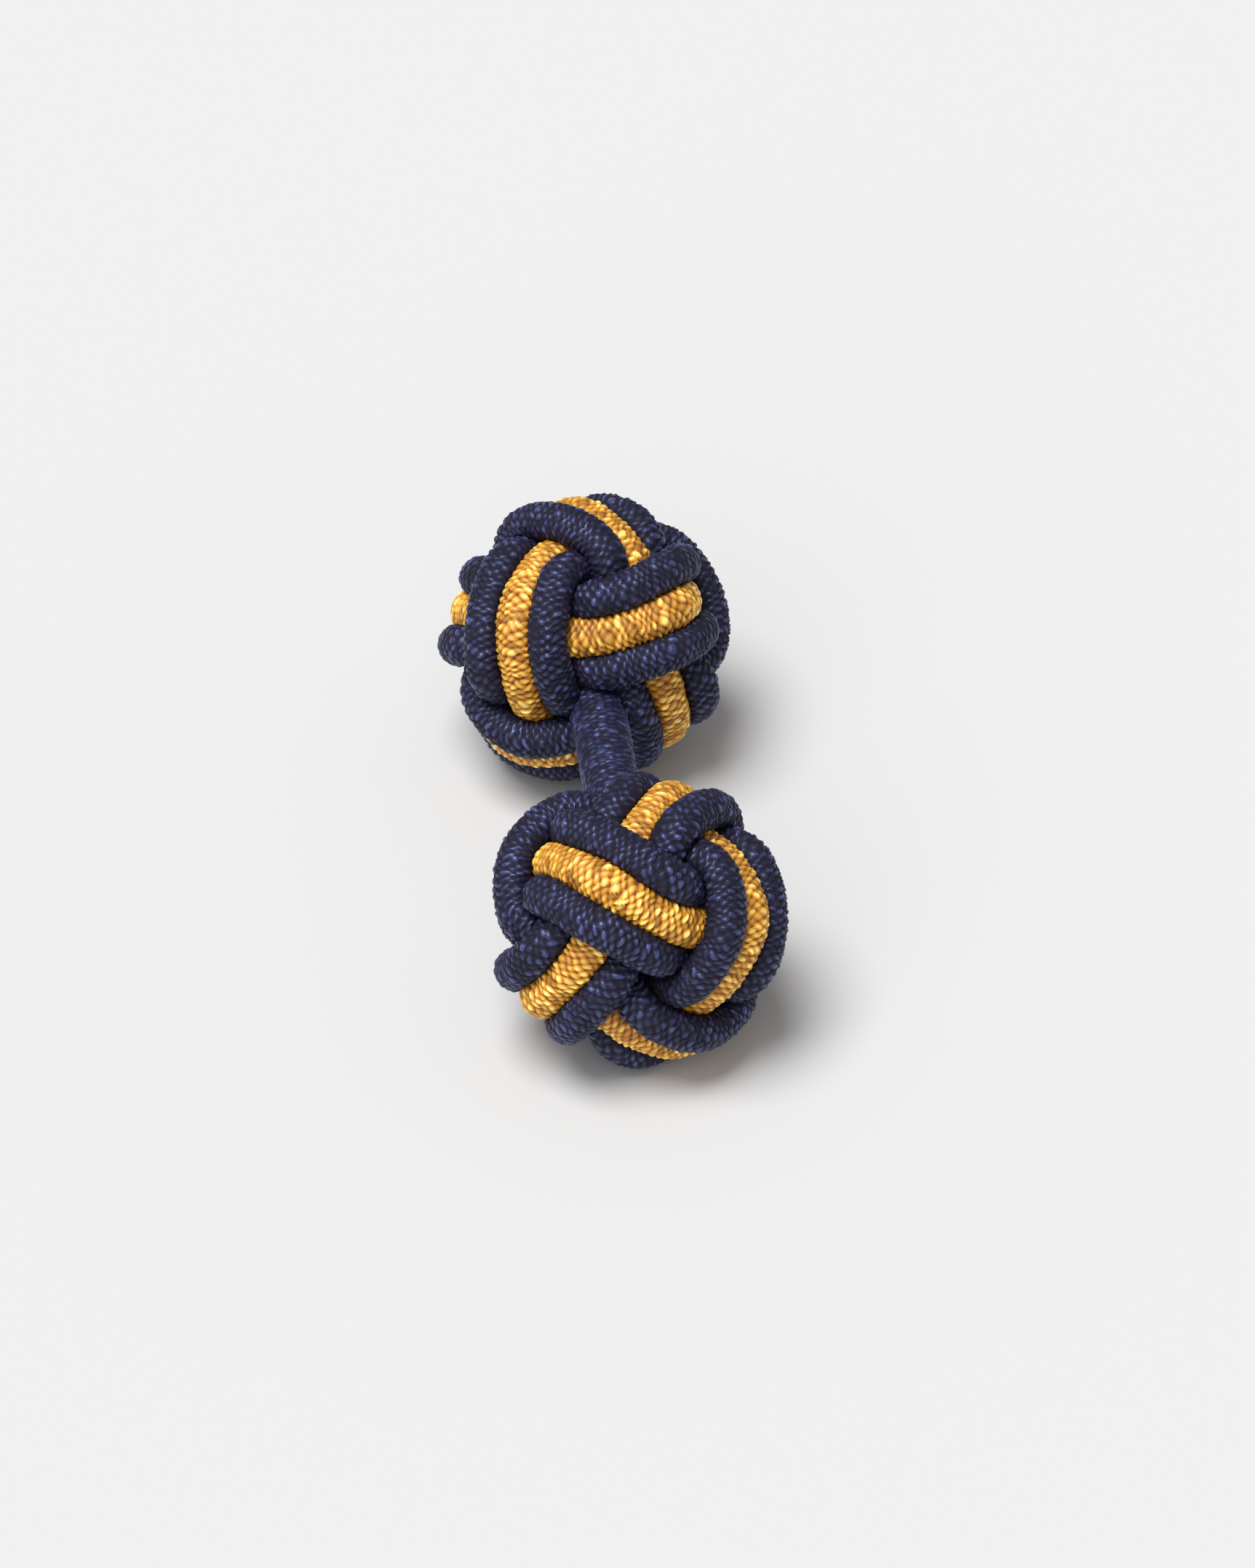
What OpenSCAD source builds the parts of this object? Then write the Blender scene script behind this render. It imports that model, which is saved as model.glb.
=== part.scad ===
// Silk knot cuff button, lying on a table: two ball knots woven from braided cord, joined by a
// short elastic link that passes through the buttonholes of a cuff.
// X runs along the link, Z is up, and the origin is on the table under the middle of the link.
// Each knot is a Turk's head of three leads and four bights, followed round by three cords side
// by side: a navy, a gold and a navy. Each cord is one closed loop of three turns. All sizes are
// in millimetres.

/* [Knots] */
// Widest size of a knot, across the link
knot_d = 12.8; // [11:0.1:15]
// How far a bight swings from the knot's girth towards its pole, in degrees
bight_latitude = 49.2; // [48:0.1:50.5]
// Length of the weave's middle surface along the link, for one across it
pole_stretch = 0.97; // [0.95:0.01:1.05]
// Turn of the right knot about the link, in degrees
right_spin = -22; // [-45:1:45]
// Turn of the left knot about the link, in degrees
left_spin = -44; // [-45:1:45]

/* [Cords] */
// Width of a cord, measured along the knot's surface
cord_w = 1.34; // [1.2:0.01:1.36]
// Thickness of a cord where others press on it
cord_t = 0.96; // [0.8:0.01:1]
// Distance between the middles of cords that lie side by side
cord_pitch = 1.48; // [1.45:0.01:1.5]
// Rise and fall of a cord as it weaves, before its crest is flattened
weave_rise = 0.78; // [0.76:0.01:0.82]
// How much of the third wave is added, to flatten crest and trough
weave_flat = 0.3; // [0.25:0.01:0.32]
// How far crest and trough draw apart along the cord, in degrees
weave_lag = 42; // [40:1:44]

/* [Link] */
// Diameter of the link
link_d = 2.4; // [1.6:0.1:2.6]
// Length of the link that shows between the knots
link_span = 7.6; // [5:0.1:9]
// Diameter of the round end that holds the link inside each knot
link_head_d = 7.6; // [6:0.1:7.8]

/* [Rest] */
// How deep the softest cords are pressed flat by the table
press_depth = 0.2; // [0.1:0.05:0.3]

/* [Hidden] */

navy = "#20264f";
gold = "#d79a32";

// Turk's head: turns round the knot, and swings between its poles, before a cord meets itself
leads = 3;
bights = 4;

// Which side of the band a cord lies on: the outer one passes nearest the knot's free pole
outer = 1;
middle = 0;
inner = -1;
right = 1;
left = -1;

// Rings along a cord and corners round it
rings = 120;
corners = 8;

// The crest stands this much above the weave's middle surface
crest_rise = max([for (p = [0:5:180]) weave(p)]);
weave_r = knot_d / 2 - crest_rise - cord_t / 2;
stretch = [1, 1, pole_stretch];

// Distance from the middle of a knot to its pole faces, and from the part's middle to a knot's
knot_half_l = weave_r * pole_stretch * sin(bight_latitude) + crest_rise * 0.5 + cord_t / 2 + 0.8;
knot_x = link_span / 2 + knot_half_l;

// Height of both knots' middles: the shallower knot is pressed by press_depth
knot_z = min(lowest(right), lowest(left)) - press_depth;

function unit(v) = v / norm(v);
function times(a, b) = [a.x * b.x, a.y * b.y, a.z * b.z];

// Height above the weave's middle surface at a phase of the weave, in degrees
function weave(phase) = weave_rise * (sin(phase) + weave_flat * sin(3 * phase));

// Middle of a cord at the parameter t, from 0 to 360, with the knot's pole on Z.
// Latitude swings four times while longitude turns three times. The cords at the sides of the
// band are the same curve, moved along the surface at right angles to it.
function cord_middle(side, t) =
    let (
        lat = bight_latitude * cos(bights * t),
        lon = leads * t,
        out = [cos(lat) * cos(lon), cos(lat) * sin(lon), sin(lat)],
        east = [-sin(lon), cos(lon), 0],
        north = [-sin(lat) * cos(lon), -sin(lat) * sin(lon), cos(lat)],
        lat_slope = -bights * bight_latitude * PI / 180 * sin(bights * t),
        along = unit(east * leads * cos(lat) + north * lat_slope),
        across = cross(out, along),
        phase = 2 * bights * t - weave_lag * sin(2 * bights * t),
        rise = weave(phase),
        shift = side * cord_pitch / (weave_r * norm(times(across, stretch)) + rise) * 180 / PI,
        spot = out * cos(shift) + across * sin(shift)
    )
    times(spot, stretch) * weave_r + skyward(spot) * rise;

// Outward direction of the weave's middle surface at a spot of the unit sphere
function skyward(spot) = unit([spot.x, spot.y, spot.z / pole_stretch]);

// One ring of corners round a cord: an oval square to the cord, its short axis pointing outwards
function cord_ring(side, t) =
    let (
        here = cord_middle(side, t),
        along = unit(cord_middle(side, t + 0.1) - cord_middle(side, t - 0.1)),
        wide = unit(cross(skyward(unit([here.x, here.y, here.z / pole_stretch])), along)),
        thick = cross(along, wide)
    )
    [for (c = [0:corners - 1])
        here + wide * cord_w / 2 * cos(c * 360 / corners) + thick * cord_t / 2 * sin(c * 360 / corners)];

// From the knot's own frame to the part's: pole outwards along X, then turned about the link
function turned(p, spin) =
    [p.z, p.x * cos(spin) - p.y * sin(spin), p.x * sin(spin) + p.y * cos(spin)];
function to_side(p, hand) = [hand * p.x, hand * p.y, p.z];

function cord_corners(side, hand) =
    let (spin = hand == right ? right_spin : left_spin)
    [for (i = [0:rings - 1])
        for (p = cord_ring(side, i * 360 / rings))
            to_side(turned(p, spin), hand)];

// How far a knot reaches below its middle
function lowest(hand) = -min([for (side = [outer, middle, inner]) for (p = cord_corners(side, hand)) p.z]);

// Faces of a closed tube: two triangles for each pair of corners on neighbouring rings
tube_faces = [
    for (i = [0:rings - 1])
        for (c = [0:corners - 1])
            let (
                a = i * corners + c,
                b = i * corners + (c + 1) % corners,
                a_next = (a + corners) % (rings * corners),
                b_next = (b + corners) % (rings * corners)
            )
            each [[a, b_next, b], [a, a_next, b_next]]
];

// A cord of one knot, flat underneath where the table presses it
module knot_cord(side, hand) {
    points = [
        for (p = cord_corners(side, hand))
            [p.x + hand * knot_x, p.y, max(p.z + knot_z, 0)]
    ];
    polyhedron(points = points, faces = tube_faces, convexity = 8);
}

// The link: a plain round cord, with a round end inside each knot in place of its knotted tails
module link_cord() {
    color(navy)
    translate([0, 0, knot_z])
    union() {
        rotate([0, 90, 0])
        cylinder(h = 2 * knot_x, d = link_d, center = true, $fn = 48);
        for (hand = [left, right])
            translate([hand * knot_x, 0, 0])
            sphere(d = link_head_d, $fn = 64);
    }
}

color(navy) knot_cord(outer, right);  // right_knot_outer_navy_cord
color(gold) knot_cord(middle, right);  // right_knot_gold_cord
color(navy) knot_cord(inner, right);  // right_knot_inner_navy_cord
color(navy) knot_cord(outer, left);  // left_knot_outer_navy_cord
color(gold) knot_cord(middle, left);  // left_knot_gold_cord
color(navy) knot_cord(inner, left);  // left_knot_inner_navy_cord
link_cord();
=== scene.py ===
# %% [markdown]
# # A silk knot cuff button
# The object is two ball knots, woven from braided silk cord, on a short elastic link. Each knot is
# a Turk's head: a band of three cords (navy, gold, navy) goes over and under itself, three times
# round and four times up and down. This lesson dresses the plain solids of the part: it works out
# how the cords settle when the knot is pulled tight, sweeps a braided surface along each of them,
# and gives them a silk finish.

# %% Load the frame
import math
import time

import bpy
import numpy as np
from mathutils import Matrix, Vector


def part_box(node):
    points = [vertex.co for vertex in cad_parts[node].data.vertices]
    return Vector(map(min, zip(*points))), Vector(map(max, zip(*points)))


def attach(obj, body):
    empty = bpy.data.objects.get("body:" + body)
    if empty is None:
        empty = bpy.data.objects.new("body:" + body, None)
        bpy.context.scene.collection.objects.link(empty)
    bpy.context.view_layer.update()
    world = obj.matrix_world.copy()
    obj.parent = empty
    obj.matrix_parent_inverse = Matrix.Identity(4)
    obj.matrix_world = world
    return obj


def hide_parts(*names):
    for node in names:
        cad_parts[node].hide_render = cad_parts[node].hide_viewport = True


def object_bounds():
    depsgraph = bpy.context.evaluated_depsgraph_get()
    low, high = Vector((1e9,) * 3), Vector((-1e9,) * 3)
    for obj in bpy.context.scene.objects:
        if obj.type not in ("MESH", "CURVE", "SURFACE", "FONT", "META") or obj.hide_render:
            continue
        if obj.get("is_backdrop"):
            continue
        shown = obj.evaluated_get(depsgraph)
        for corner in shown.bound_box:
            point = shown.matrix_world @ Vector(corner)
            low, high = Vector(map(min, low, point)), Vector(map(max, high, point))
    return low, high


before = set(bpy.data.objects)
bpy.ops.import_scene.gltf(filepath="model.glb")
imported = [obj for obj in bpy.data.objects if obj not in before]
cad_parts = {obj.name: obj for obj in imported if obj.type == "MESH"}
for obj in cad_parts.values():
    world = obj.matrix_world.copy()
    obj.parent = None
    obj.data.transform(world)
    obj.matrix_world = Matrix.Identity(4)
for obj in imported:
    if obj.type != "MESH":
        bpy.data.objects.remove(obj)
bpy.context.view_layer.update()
MM = 0.001

# %% [markdown]
# ## The sizes of the knot
# They are the same named sizes as in the part's source. The knots' middles are read from the
# solids, so that the dressed knots sit where the solids are.

# %% Named sizes, in millimetres and radians
knot_d = 12.8
bight_latitude = math.radians(49.2)
pole_stretch = 0.97
cord_pitch = 1.48
weave_rise = 0.78
weave_flat = 0.3
weave_lag = math.radians(42)
weave_r = 5.2
leads, bights = 3, 4   # turns round the knot and swings between its poles, before a cord closes
spins = {"right": math.radians(-22), "left": math.radians(-44)}
hands = {"right": 1, "left": -1}
lanes = {"outer_navy": 1, "gold": 0, "inner_navy": -1}

link_low, link_high = [np.array(corner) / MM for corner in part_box("link_cord")]
link_z = (link_low[2] + link_high[2]) / 2
gold_low, gold_high = [np.array(corner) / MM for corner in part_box("right_knot_gold_cord")]
knot_x = (gold_low[0] + gold_high[0]) / 2
print("knot middles at x", round(knot_x, 3), "z", round(link_z, 3))

# %% [markdown]
# ## The path of a cord in the woven knot
# On the real knot each cord is one loop. Its path could be drawn by hand as a curve, but a woven
# path follows a rule: latitude swings four times while longitude turns three times, and the height
# above the ball rises at each over and falls at each under. So the path is a function of one
# parameter, worked out for all points at once.

# %% The woven path
def unit(v):
    """Each row divided by its length."""
    return v / np.linalg.norm(v, axis=-1, keepdims=True)


def woven_path(lane, count):
    """A closed path of `count` points, in mm, with the knot's pole on Z.

    Latitude = bight_latitude * cos 4t and longitude = 3t. The phase of the weave is 8t, held back
    by its own sine, and the rise is its sine with a share of the third wave, which flattens the
    crests. A lane at the side of the band is the same path moved along the surface, square to it.
    """
    t = np.arange(count) * 2 * np.pi / count
    lat = bight_latitude * np.cos(bights * t)
    lon = leads * t
    out = np.stack([np.cos(lat) * np.cos(lon), np.cos(lat) * np.sin(lon), np.sin(lat)], 1)
    east = np.stack([-np.sin(lon), np.cos(lon), 0 * t], 1)
    north = np.cross(out, east)
    lat_slope = -bights * bight_latitude * np.sin(bights * t)
    along = unit(east * (leads * np.cos(lat))[:, None] + north * lat_slope[:, None])
    across = np.cross(out, along)
    crossing = 2 * bights * t
    phase = crossing - weave_lag * np.sin(crossing)
    rise = weave_rise * (np.sin(phase) + weave_flat * np.sin(3 * phase))
    stretch = np.array([1, 1, pole_stretch])
    shift = lane * cord_pitch / (weave_r * np.linalg.norm(across * stretch, axis=1) + rise)
    spot = out * np.cos(shift)[:, None] + across * np.sin(shift)[:, None]
    return spot * stretch * weave_r + unit(spot / stretch) * rise[:, None]


def loop_length(path):
    """Length of a closed path: the sum of the steps from each point to the next."""
    return np.linalg.norm(np.roll(path, -1, 0) - path, axis=1).sum()


for lane_name, lane in lanes.items():
    print(lane_name, "cord, woven:", round(loop_length(woven_path(lane, 600)), 1), "mm")

# %% [markdown]
# ## Pulling the knot tight
# A maker works the slack out of the knot until the cords bear on each other. That can be copied: a
# chain of points along each cord is pulled shorter and straighter, points of cords that are nearer
# than a cord's width push each other apart, and the soft filling inside holds them up. A few
# hundred small steps let the bands bulge and bed down as real cords do.

# %% Settle the cords
cord_w = 1.6           # width of a free cord
filling_r = 2.35       # radius of the soft filling
settle_steps = 700
settle_points = 150    # points along each cord
look_every = 20        # steps between looks for neighbours
look_widths = 1.35     # a neighbour is looked for within this many widths
own_widths = 1.6       # points of one cord that are nearer along it don't push each other
spread_every = 100     # steps between spreading the points evenly
filling_push = 0.5     # share of a dent that the filling gives back in a step


def even_points(path, count):
    """A closed path with its points spread evenly along its length."""
    ring = np.vstack([path, path[:1]])
    length = np.r_[0, np.cumsum(np.linalg.norm(np.diff(ring, axis=0), axis=1))]
    at = np.arange(count) * length[-1] / count
    return np.stack([np.interp(at, length, ring[:, k]) for k in range(3)], 1)


def steps_apart(count):
    """How many points lie between each two points of a closed chain."""
    step = np.abs(np.arange(count)[:, None] - np.arange(count)[None])
    return np.minimum(step, count - step)


def close_pairs(paths, width, spacing):
    """Numbers of all pairs of points that are near enough to push each other."""
    cords, count, _ = paths.shape
    points = paths.reshape(-1, 3)
    gap2 = ((points[:, None] - points[None]) ** 2).sum(-1)
    close = gap2 < (look_widths * width) ** 2
    own = steps_apart(count) < max(3, int(round(own_widths * width / spacing)))
    for c in range(cords):
        close[c * count:(c + 1) * count, c * count:(c + 1) * count] &= ~own
    return np.nonzero(close)


def settle(paths, width, steps, tension=0.05, stiffness=0.25, push=0.35):
    """Cords as chains of points: tension and bending smooth them, contact and filling push them.

    Tension moves a point to the middle of its neighbours, stiffness evens that out, and each pair
    of cord points closer than the width is pushed apart by a share of what is missing.
    """
    for turn in range(steps):
        after, before = np.roll(paths, -1, 1), np.roll(paths, 1, 1)
        spacing = np.linalg.norm(after - paths, axis=2).mean()
        bend = (after + before) / 2 - paths
        evened = (np.roll(bend, -1, 1) + np.roll(bend, 1, 1)) / 2 - bend
        move = tension * bend / spacing * width - stiffness * evened
        points = paths.reshape(-1, 3)
        if turn % look_every == 0:
            one, other = close_pairs(paths, width, spacing)
        apart = points[one] - points[other]
        gap = np.linalg.norm(apart, axis=1) + 1e-9
        lack = np.clip(width - gap, 0, None)
        shove = apart * (lack / gap)[:, None]
        touching = np.maximum(np.bincount(one, lack > 0, len(points)), 1)
        pushed = np.stack([np.bincount(one, shove[:, k], len(points)) for k in range(3)], 1)
        move += push * (pushed / np.sqrt(touching)[:, None]).reshape(paths.shape)
        depth = np.clip(filling_r + width / 2 - np.linalg.norm(paths, axis=2), 0, None)
        move += filling_push * unit(paths) * depth[..., None]
        paths = paths + move
        if turn % spread_every == spread_every - 1:
            paths = np.stack([even_points(path, len(path)) for path in paths])
    return paths


started = time.time()
woven = np.stack([even_points(woven_path(lane, 600), settle_points) for lane in lanes.values()])
settled = settle(woven, cord_w, settle_steps)
wide = np.linalg.norm(settled[..., :2], axis=2).max() * 2 + cord_w
deep = np.abs(settled[..., 2]).max() * 2 + cord_w
print(f"settled in {time.time() - started:.1f} s: {wide:.2f} mm across, {deep:.2f} mm along the link")

# %% [markdown]
# ## A smooth path and a frame to carry the cord's outline
# The settled chains are coarse. A closed path can be refined without corners by its Fourier
# series: its slow waves are kept and the jitter is dropped. The outline of a cord then rides along
# the path on three directions: along it, outwards from the knot, and sideways.

# %% Refine the paths
sections = 1800        # outlines along each cord
waves_kept = 40


def refine(path, count):
    """A closed path from its Fourier series: slow waves kept, and evaluated at `count` points."""
    series = np.fft.rfft(path, axis=0)
    series[waves_kept:] = 0
    longer = np.zeros((count // 2 + 1, 3), complex)
    longer[:len(series)] = series
    return even_points(np.fft.irfft(longer, count, axis=0) * count / len(path), count)


def directions(path):
    """For each point of a closed path: along it, outwards from the knot and sideways."""
    along = unit(np.roll(path, -2, 0) - np.roll(path, 2, 0))
    outward = path / np.array([1, 1, pole_stretch ** 2])
    outward = unit(outward - (outward * along).sum(1, keepdims=True) * along)
    return along, outward, np.cross(along, outward)


paths = [refine(path, sections) for path in settled]
cord_length = np.mean([loop_length(path) for path in paths])
print(f"cord length {cord_length:.1f} mm, a section each {cord_length / sections:.3f} mm")

# %% [markdown]
# ## Cords that press each other flat
# A braid is soft. Where it bears on a neighbour it spreads against it, and the two share a flat
# face halfway between them. Each point of an outline is a distance from the path in some
# direction; the distance is cut where it would pass the plane midway to any other cord. That is
# the cell of a Voronoi diagram, and it closes the gaps in the knot without letting cords overlap.

# %% Work out the outlines
around = 42                   # corners of an outline, closer together on the side that shows
fullness = (1.0, 1.16, 1.0)   # the gold cord, in the middle of the band, is packed a little fuller
free_half_w = 0.86            # half width of a cord that nothing presses
free_half_t = 0.82            # half thickness on the side away from the knot
rest_gap = 0.012              # left between two cords that press on each other
coarse = 4                    # outlines are worked out at every fourth section
own_length = 2.2              # a cord presses itself only beyond this length along it
neighbours = 36               # points of another cord that are looked at from each section
least_lean = 1e-3             # a neighbour that is less than this in some direction doesn't press there
unpressed = 9.0
far_away = 1e3

dense = np.linspace(-1, 1, around, endpoint=False)
# Angle from outwards: steps are small on top and wide underneath
angles = np.pi * (dense * 0.72 + 0.28 * dense ** 3)


def free_outline(angle, full):
    """An oval: distance = 1 / sqrt((sin / half width)^2 + (cos / half thickness)^2)."""
    half_w, half_t = free_half_w * full ** 0.5, free_half_t * full ** 0.3
    return 1 / np.sqrt((np.sin(angle) / half_w) ** 2 + (np.cos(angle) / half_t) ** 2)


def smoothed(values, axis):
    """Each value evened with its two neighbours: (before + 2 own + after) / 4."""
    return (np.roll(values, 1, axis) + 2 * values + np.roll(values, -1, axis)) / 4


def spokes(outward, side):
    """Directions from the path to the corners of each outline."""
    return np.cos(angles)[None, :, None] * outward[:, None] + np.sin(angles)[None, :, None] * side[:, None]


def pressed_outlines(which):
    """Distance from the path at each section and angle, cut short of every other cord nearby.

    Two equal cords meet halfway; a fuller one keeps its share, own fullness / sum of both.
    """
    here = paths[which][::coarse]
    along, outward, side = [d[::coarse] for d in directions(paths[which])]
    reach = np.repeat(free_outline(angles, fullness[which])[None], len(here), 0)
    ways = spokes(outward, side)
    for other in range(len(paths)):
        apart = paths[other][::coarse][None] - here[:, None]
        gap2 = (apart ** 2).sum(-1)
        if other == which:
            along_cord = steps_apart(len(here)) * cord_length / len(here)
            gap2 = np.where(along_cord < own_length, far_away, gap2)
        near = np.argsort(gap2, axis=1)[:, :neighbours]
        toward = np.take_along_axis(apart, near[..., None], 1)
        share = np.take_along_axis(gap2, near, 1) * fullness[which] / (fullness[which] + fullness[other])
        lean = np.einsum("sac,snc->san", ways, toward)
        limit = np.where(lean > least_lean, share[:, None, :] / np.maximum(lean, least_lean), unpressed)
        reach = np.minimum(reach, limit.min(2) - rest_gap)
    for _ in range(3):
        reach = smoothed(smoothed(reach, 0), 1)
    at = np.arange(len(paths[which])) / coarse
    low = at.astype(int) % len(here)
    between = (at - np.floor(at))[:, None]
    return reach[low] * (1 - between) + reach[(low + 1) % len(here)] * between


started = time.time()
outlines = [pressed_outlines(which) for which in range(len(paths))]
print(f"outlines in {time.time() - started:.1f} s, narrowest {min(o.min() for o in outlines):.2f} mm")

# %% [markdown]
# ## The braid
# The cord is a tubular braid of sixteen yarns, eight winding each way. Each yarn shows where it
# passes over the others, as a short plump float, and the floats lie in a lattice of diamonds. Such
# a surface could be woven from thousands of small strands; here it is a height on the cord's skin,
# which is much lighter and still real enough to catch the light.

# %% Heights of the braid
float_pitch = 0.31            # from one float to the next along the cord
float_height = 0.14           # from the seams to the crown of a float
across_fall, across_power = 2.1, 2.2
along_fall, along_power = 0.75, 3
hole = 0.3                    # depth of the hole where four floats meet
uneven = 0.15                 # how much the floats differ in plumpness and in height
yarn_waves = ((5, 0.16), (17, 0.15), (41, 0.15), (97, 0.14))   # waves along a cord, and their size
round_waves = (-5, -2, 1, 3)


def braid(share, length, angle, seed, yarns=16):
    """Height and tone of the floats, on a grid of share of the length and angle around.

    The two sets of yarns follow a = s + v and b = s - v, s counting floats along and v pairs of
    floats around, so each whole a and b is the middle of a diamond cell, where one set is on top.
    The height falls from 1 by |2.1 c|^2.2 across the yarn and by 0.75 |2 l|^3 along it, down to
    -0.3 in the hole where four floats meet. Slow waves let the yarns wander.
    """
    floats = int(round(length / float_pitch))
    rng = np.random.default_rng(seed)
    turn = 2 * np.pi * share[:, None]
    s = turn * floats / (2 * np.pi)
    v = angle[None] / (2 * np.pi) * yarns / 2
    for wave, size in yarn_waves:
        for round_wave in round_waves:
            lean = round_wave * angle[None]
            s = s + size / 2 * np.sin(wave * turn + lean + rng.uniform(0, 6.28))
            v = v + size / 6 * np.sin((wave + 3) * turn + lean + rng.uniform(0, 6.28))
    a, b = s + v, s - v
    i, j = np.round(a), np.round(b)
    a, b = a - i, b - j
    row, column = ((i + j) % (2 * floats)).astype(int), ((i - j) % yarns).astype(int)
    tone, plump = np.clip(rng.normal(0, 1, (2, 2 * floats, yarns)), -2, 2)[:, row, column]
    first = (i - j) % 2 == 0
    along, across = np.where(first, a, b), np.where(first, b, a)
    fall = np.abs(across_fall * across) ** across_power + along_fall * np.abs(2 * along) ** along_power
    height = np.maximum(1 - fall / (1 + uneven * plump), -hole)
    return (height + hole) / (1 + hole) * (1 + uneven * tone), tone


print(int(round(cord_length / float_pitch)), "floats along a cord, 16 round it")

# %% [markdown]
# ## Sweep the cords
# The outline, the braid's height and the path come together in one grid of points: a row for each section,
# closed along and around. The height, on a scale that the material turns into painted shade and a painted
# highlight, and the tone are kept on the mesh, for the material. Where a cord is pressed by its neighbour
# little light gets in, so that scale is kept low there, which paints shade on the pressed sides.

# %% Build a swept mesh
press_depth = 0.15            # how deep the softest cords are pressed flat by the table
outline_level = 0.55          # height of the braid that lies on the cord's outline
seam_level = 0.25             # painted shade of the seams between floats, lighter than the painted shade of pressed sides
pressed_shade = 0.9           # how much darker a pressed side's colour is painted: painted shade
pressed_from = 0.02           # mm of press at which the painted shade begins
pressed_over = 0.12           # mm over which it grows to the full


def finished_piece(name, mesh, layers):
    """An object in the scene, with smooth faces and float layers kept as attributes."""
    mesh.polygons.foreach_set("use_smooth", np.ones(len(mesh.polygons), bool))
    for layer, values in layers.items():
        attribute = mesh.attributes.new(layer, "FLOAT", "POINT")
        attribute.data.foreach_set("value", values.astype(np.float32).ravel())
    piece = bpy.data.objects.new(name, mesh)
    bpy.context.scene.collection.objects.link(piece)
    return piece


def grid_mesh(name, points, layers):
    """A mesh from a grid of points closed both ways: four corners a face, each shared by four."""
    rows, cols, _ = points.shape
    number = np.arange(rows * cols).reshape(rows, cols)
    right = np.roll(number, -1, 1)
    faces = np.stack([number, right, np.roll(right, -1, 0), np.roll(number, -1, 0)], -1).reshape(-1, 4)
    mesh = bpy.data.meshes.new(name)
    mesh.vertices.add(rows * cols)
    mesh.vertices.foreach_set("co", (points * MM).astype(np.float32).ravel())
    mesh.loops.add(faces.size)
    mesh.loops.foreach_set("vertex_index", faces.astype(np.int32).ravel())
    mesh.polygons.add(len(faces))
    mesh.polygons.foreach_set("loop_start", np.arange(0, faces.size, 4, dtype=np.int32))
    mesh.update(calc_edges=True)
    mesh.validate()
    return finished_piece(name, mesh, layers)


def placed(points, hand, spin, middle):
    """Knot's own frame to the part's: pole along X, turned about the link, then to its side."""
    x, y, z = points[..., 0], points[..., 1], points[..., 2]
    turned = np.stack([z, x * np.cos(spin) - y * np.sin(spin), x * np.sin(spin) + y * np.cos(spin)], -1)
    return turned * np.array([hand, hand, 1]) + middle


def shade_of(height):
    """The braid's height on the painted shade scale, where 0 is left for the painted shade of pressed
    sides.
    """
    return seam_level + (1 - seam_level) * height


def braided_cord(which, seed):
    """Points of a cord in the knot's own frame, with its painted shade scale and tone."""
    along, outward, side = directions(paths[which])
    height, tone = braid(np.arange(sections) / sections, cord_length, angles, seed)
    reach = outlines[which] + float_height * (height - outline_level)
    points = paths[which][:, None] + spokes(outward, side) * reach[..., None]
    # Painted shade: where neighbours press a cord flat, its colour is darkened, as little light gets in
    # there.
    press = free_outline(angles, fullness[which]) - outlines[which]
    pressed = np.clip((press + pressed_from) / pressed_over, 0, 1)
    for _ in range(3):
        pressed = smoothed(pressed, 1)
    return points, dict(ridge_and_painted_light=shade_of(height) * (1 - pressed_shade * pressed), tone=tone)


cords = {}
for side_name, hand in hands.items():
    grids, layers = {}, {}
    for which, lane_name in enumerate(lanes):
        points, layers[lane_name] = braided_cord(which, seed=10 * which + (hand > 0))
        grids[lane_name] = placed(points, hand, spins[side_name], np.array([hand * knot_x, 0, 0]))
    lowest = min(grid[..., 2].min() for grid in grids.values())
    for lane_name, grid in grids.items():
        grid[..., 2] = np.maximum(grid[..., 2] - lowest - press_depth, 0)
        piece = grid_mesh(f"{side_name}_{lane_name}_braid", grid, layers[lane_name])
        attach(piece, "root")
        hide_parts(f"{side_name}_knot_{lane_name}_cord")
        cords[side_name, lane_name] = piece
    print(side_name, "knot: middle", round(-lowest - press_depth, 2), "mm up")

# %% [markdown]
# ## The link and what is inside
# Between the knots runs a round elastic cord with a braided cover, which ends in the knots' filling
# of tucked tails. The link is one surface carried along a straight line; its radius swells into the
# filling at both ends. Its braid is the same height pattern, of twenty finer yarns.

# %% Build the link
link_r = 1.2
link_sections, link_around = 420, 76
link_relief = 0.1             # from the seams to the crown of a float
link_level = 0.6              # height of the braid that lies on the link's radius


def link_radius(x):
    """Link radius along X: the link's own, blended up to a round filling inside each knot."""
    from_middle = np.abs(np.abs(x) - knot_x)
    filling = np.sqrt(np.clip(filling_r ** 2 - from_middle ** 2, 0, None))
    return np.where(np.abs(x) > knot_x, filling, np.maximum(filling, link_r))


def closed_tube(name, points, layers):
    """A tube from a grid closed around, with a single point at each end."""
    rows, cols, _ = points.shape
    verts = np.vstack([points[1:-1].reshape(-1, 3), points[0, :1], points[-1, :1]])
    number = np.arange((rows - 2) * cols).reshape(rows - 2, cols)
    right = np.roll(number, -1, 1)
    quads = np.stack([number[:-1], number[1:], right[1:], right[:-1]], -1).reshape(-1, 4)
    first, last = np.full(cols, len(verts) - 2), np.full(cols, len(verts) - 1)
    start = np.stack([first, number[0], right[0]], -1)
    end = np.stack([last, right[-1], number[-1]], -1)
    mesh = bpy.data.meshes.new(name)
    mesh.from_pydata((verts * MM).tolist(), [], quads.tolist() + start.tolist() + end.tolist())
    mesh.update()
    flat = {layer: np.r_[values[1:-1].ravel(), 0.5, 0.5] for layer, values in layers.items()}
    return finished_piece(name, mesh, flat)


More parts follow.
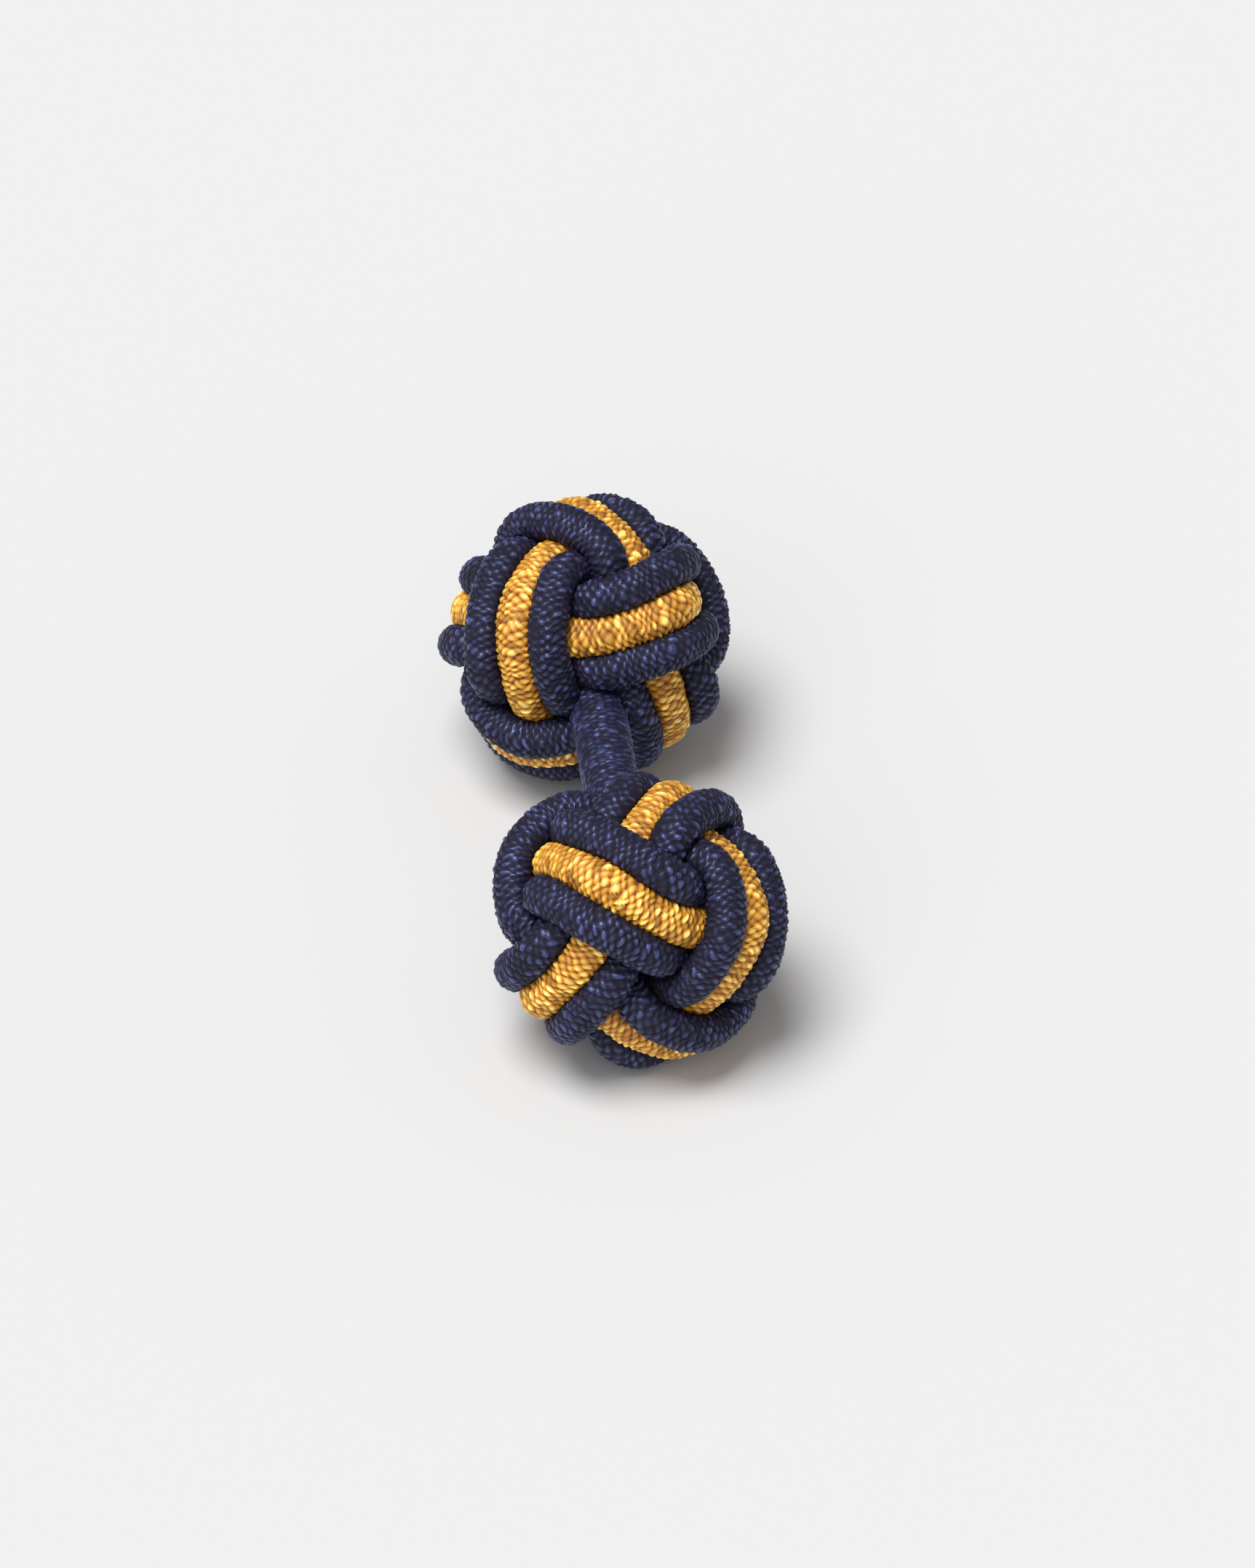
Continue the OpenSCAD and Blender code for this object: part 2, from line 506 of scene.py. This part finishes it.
half_l = knot_x + filling_r
link_share = np.linspace(0, 1, link_sections)
link_x = half_l * (2 * link_share - 1)
link_angles = np.arange(link_around) * 2 * np.pi / link_around - np.pi
height, tone = braid(link_share, 2 * half_l, link_angles, seed=90, yarns=20)
radius = np.clip(link_radius(link_x)[:, None] + link_relief * (height - link_level), 0, None)
radius[[0, -1]] = 0.0
link_points = np.stack([
    np.broadcast_to(link_x[:, None], radius.shape),
    radius * np.cos(link_angles),
    link_z + radius * np.sin(link_angles)], -1)
link = closed_tube("link_braid", link_points, dict(ridge_and_painted_light=shade_of(height), tone=tone))
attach(link, "root")
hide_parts("link_cord")
print("link", round(2 * half_l, 1), "mm long with its filling,", 2 * link_r, "mm across")

# %% [markdown]
# ## Which way the faces point
# A swept grid can come out inside out. The enclosed volume has a sign: where it is negative, the
# faces are flipped.

# %% Check the faces
def volume_of(mesh):
    """Signed volume in mm3: the sum over triangles of corner . (corner x corner) / 6."""
    mesh.calc_loop_triangles()
    tri = np.empty(len(mesh.loop_triangles) * 3, np.int32)
    mesh.loop_triangles.foreach_get("vertices", tri)
    co = np.empty(len(mesh.vertices) * 3, np.float32)
    mesh.vertices.foreach_get("co", co)
    a, b, c = [co.reshape(-1, 3)[tri.reshape(-1, 3)[:, k]].astype(float) / MM for k in range(3)]
    return (a * np.cross(b, c)).sum() / 6


for piece in list(cords.values()) + [link]:
    if volume_of(piece.data) < 0:
        piece.data.flip_normals()
    print(piece.name, f"{volume_of(piece.data):.1f} mm3,", len(piece.data.loop_triangles), "triangles")

# %% [markdown]
# ## Silk
# The yarns are bright rayon or silk: a soft wide gleam on the crown of each float, tinted with the yarn's
# own colour, and deep shade in the seams, where light goes from yarn to yarn. The shade in the seams and
# on the pressed sides is painted into the colour, and so is a painted highlight on each crown. One
# function serves all the colours. The colour runs from pressed side to seam, body and crown by the painted
# shade scale kept on the mesh, and the tone kept for each float makes neighbours a little lighter or
# darker.

# %% Silk material
tone_share = 0.2              # how much the floats differ in brightness
fibre_scale = 9000            # waves of the fibres' noise in a metre
fibre_depth = 0.00003


def silk(name, deep, seam, body, crown, gleam, roughness, sheen):
    """Colour from the painted shade of pressed sides and seams up to a painted highlight on the crown,
    times the float's tone; glossy on top.
    """
    material = bpy.data.materials.new(name)
    material.use_nodes = True
    nodes, links = material.node_tree.nodes, material.node_tree.links
    shader = nodes["Principled BSDF"]
    ridge_and_painted_light = nodes.new("ShaderNodeAttribute")
    ridge_and_painted_light.attribute_name = "ridge_and_painted_light"
    # Painted light: the deep and seam stops are painted shade, the crown stop a painted highlight.
    ramp = nodes.new("ShaderNodeValToRGB")
    stops = ramp.color_ramp.elements
    stops[0].color = (*deep, 1)
    stops[1].color = (*crown, 1)
    for position, colour in ((0.1, deep), (seam_level + 0.05, seam), (0.65, body)):
        stops.new(position).color = (*colour, 1)
    links.new(ridge_and_painted_light.outputs["Fac"], ramp.inputs["Fac"])
    tone_layer = nodes.new("ShaderNodeAttribute")
    tone_layer.attribute_name = "tone"
    brightness = nodes.new("ShaderNodeMath")
    brightness.operation = "MULTIPLY_ADD"
    brightness.inputs[1].default_value = tone_share
    brightness.inputs[2].default_value = 1.0
    tint = nodes.new("ShaderNodeHueSaturation")
    links.new(tone_layer.outputs["Fac"], brightness.inputs[0])
    links.new(brightness.outputs[0], tint.inputs["Value"])
    links.new(ramp.outputs["Color"], tint.inputs["Color"])
    links.new(tint.outputs["Color"], shader.inputs["Base Color"])
    worn = nodes.new("ShaderNodeMapRange")
    worn.inputs["From Min"].default_value = 0.45
    worn.inputs["From Max"].default_value = 0.85
    worn.inputs["To Min"].default_value = 0.8
    worn.inputs["To Max"].default_value = roughness
    links.new(ridge_and_painted_light.outputs["Fac"], worn.inputs["Value"])
    links.new(worn.outputs["Result"], shader.inputs["Roughness"])
    shader.inputs["Specular IOR Level"].default_value = 0.8
    shader.inputs["Specular Tint"].default_value = (*gleam, 1)
    shader.inputs["Sheen Weight"].default_value = sheen
    shader.inputs["Sheen Roughness"].default_value = 0.4
    shader.inputs["Sheen Tint"].default_value = (*crown, 1)
    place = nodes.new("ShaderNodeTexCoord")
    fibre = nodes.new("ShaderNodeTexNoise")
    fibre.inputs["Scale"].default_value = fibre_scale
    fibre.inputs["Detail"].default_value = 2
    links.new(place.outputs["Object"], fibre.inputs["Vector"])
    bump = nodes.new("ShaderNodeBump")
    bump.inputs["Strength"].default_value = 0.5
    bump.inputs["Distance"].default_value = fibre_depth
    links.new(fibre.outputs["Fac"], bump.inputs["Height"])
    links.new(bump.outputs["Normal"], shader.inputs["Normal"])
    return material


# For each silk, deep and seam are painted shade and crown is a painted highlight, around the body colour.
navy = silk(
    "navy_silk", deep=(0.006, 0.0008, 0.0005), seam=(0.006, 0.0006, 0.0006), body=(0.009, 0.0036, 0.015),
    crown=(0.052, 0.064, 0.185), gleam=(0.52, 0.62, 1.0), roughness=0.27, sheen=0.0)
gold = silk(
    "gold_silk", deep=(0.06, 0.008, 0.001), seam=(0.24, 0.058, 0.002), body=(0.80, 0.335, 0.012),
    crown=(1.0, 0.92, 0.26), gleam=(1.0, 0.97, 0.88), roughness=0.25, sheen=0.03)
link_silk = silk(
    "link_silk", deep=(0.006, 0.0008, 0.0005), seam=(0.006, 0.0006, 0.0006), body=(0.009, 0.0036, 0.015),
    crown=(0.040, 0.049, 0.140), gleam=(0.52, 0.62, 1.0), roughness=0.36, sheen=0.0)
for (side_name, lane_name), piece in cords.items():
    piece.data.materials.append(gold if lane_name == "gold" else navy)
link.data.materials.append(link_silk)
print("materials:", navy.name, gold.name, link_silk.name)

# %% [markdown]
# ## Floor and light
# The photograph has a plain near-white ground and a broad soft light from above. The floor is wide
# and pale. Two far lamps fill a wide angle, so that their shadows are soft: a strong one stands
# almost overhead and a weak one lower down, both a little to the left and on the camera's side. An
# even white sky lightens the shadows.

# %% Floor and lights
floor_half = 3.0              # metres
lamp_distance = 0.3           # metres; the lamps are suns, so only their directions count
yaw, tilt = math.radians(7), math.radians(40)
forward = np.array([-math.cos(yaw) * math.cos(tilt), math.sin(yaw) * math.cos(tilt), -math.sin(tilt)])
rightward = np.array([math.sin(yaw), math.cos(yaw), 0.0])
upward = np.cross(rightward, forward)


def plain_material(name, colour, roughness):
    """A single matt colour, for the ground."""
    material = bpy.data.materials.new(name)
    material.use_nodes = True
    shader = material.node_tree.nodes["Principled BSDF"]
    shader.inputs["Base Color"].default_value = (*colour, 1)
    shader.inputs["Roughness"].default_value = roughness
    shader.inputs["Specular IOR Level"].default_value = 0.1
    return material


def lamp(name, toward, width_deg, ground_share):
    """A far soft lamp, `toward` giving how far right, up and towards the camera it stands.

    Its width is an angle, and its strength is the share of a white floor's full brightness that it
    gives: energy = share * pi / height of its direction.
    """
    right, up, nearer = toward
    level = np.array([forward[0], forward[1], 0]) / math.cos(tilt)
    way = unit(right * rightward + up * np.array([0, 0, 1.0]) - nearer * level)
    light = bpy.data.lights.new(name, "SUN")
    light.angle = math.radians(width_deg)
    light.energy = ground_share * math.pi / way[2]
    source = bpy.data.objects.new(name, light)
    bpy.context.scene.collection.objects.link(source)
    source.location = way * lamp_distance
    source.rotation_euler = Vector(way).to_track_quat("Z", "Y").to_euler()
    return source


floor_mesh = bpy.data.meshes.new("floor")
corners = [(x * floor_half, y * floor_half, 0) for x, y in ((-1, -1), (1, -1), (1, 1), (-1, 1))]
floor_mesh.from_pydata(corners, [], [(0, 1, 2, 3)])
floor = bpy.data.objects.new("floor", floor_mesh)
bpy.context.scene.collection.objects.link(floor)
floor_mesh.materials.append(plain_material("ground", (0.71, 0.71, 0.71), 0.9))
floor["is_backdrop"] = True

key = lamp("key", (-0.25, 1.0, 0.2), 32, 0.82)
fill = lamp("fill", (-0.3, 0.8, 0.9), 60, 0.15)
world = bpy.data.worlds.new("studio")
bpy.context.scene.world = world
world.use_nodes = True
sky = world.node_tree.nodes["Background"]
sky.inputs["Color"].default_value = (1, 1, 1, 1)
sky.inputs["Strength"].default_value = 0.27
bpy.context.scene.view_settings.view_transform = "Standard"
print("lamps, W/m2: key", round(key.data.energy, 2), "fill", round(fill.data.energy, 2))

# %% [markdown]
# ## Camera
# A long lens, as product photographers use, keeps the far knot as large as the near one. The camera
# looks down from where the near knot's pole faces it, and is aimed so that the near knot's middle
# falls where it does in the photograph.

# %% Place the camera
photo_w, photo_h = 1725, 2156
near_px = (876, 1268)          # where the near knot's middle is in the photograph
px_per_mm = 417 / knot_d       # knot's width there, for its width in mm
distance = 380.0               # from the near knot, in mm
sensor_w = 36                  # mm
near = np.array([knot_x, 0, link_z])
aim = near + rightward * (photo_w / 2 - near_px[0]) / px_per_mm
aim = aim + upward * (near_px[1] - photo_h / 2) / px_per_mm
camera_data = bpy.data.cameras.new("camera")
camera_data.sensor_fit = "HORIZONTAL"
camera_data.sensor_width = sensor_w
camera_data.lens = sensor_w * distance / (photo_w / px_per_mm)
camera_data.clip_start = 0.01
camera = bpy.data.objects.new("camera", camera_data)
bpy.context.scene.collection.objects.link(camera)
camera.location = (aim - forward * distance) * MM
camera.rotation_euler = Matrix(np.stack([rightward, upward, -forward], 1).tolist()).to_euler()
bpy.context.scene.camera = camera
print("lens", round(camera_data.lens), "mm")

# %% [markdown]
# ## The box of the dressed part is printed.
# The boxes of the plain solids and of the dressed part are written out, to be compared.

# %% Write the sizes
seen_low, seen_high = [list(map(float, corner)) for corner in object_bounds()]
dressed = np.array([seen_low, seen_high]) / MM
print("dressed part's box, mm:", np.round(dressed[0], 2), np.round(dressed[1], 2))
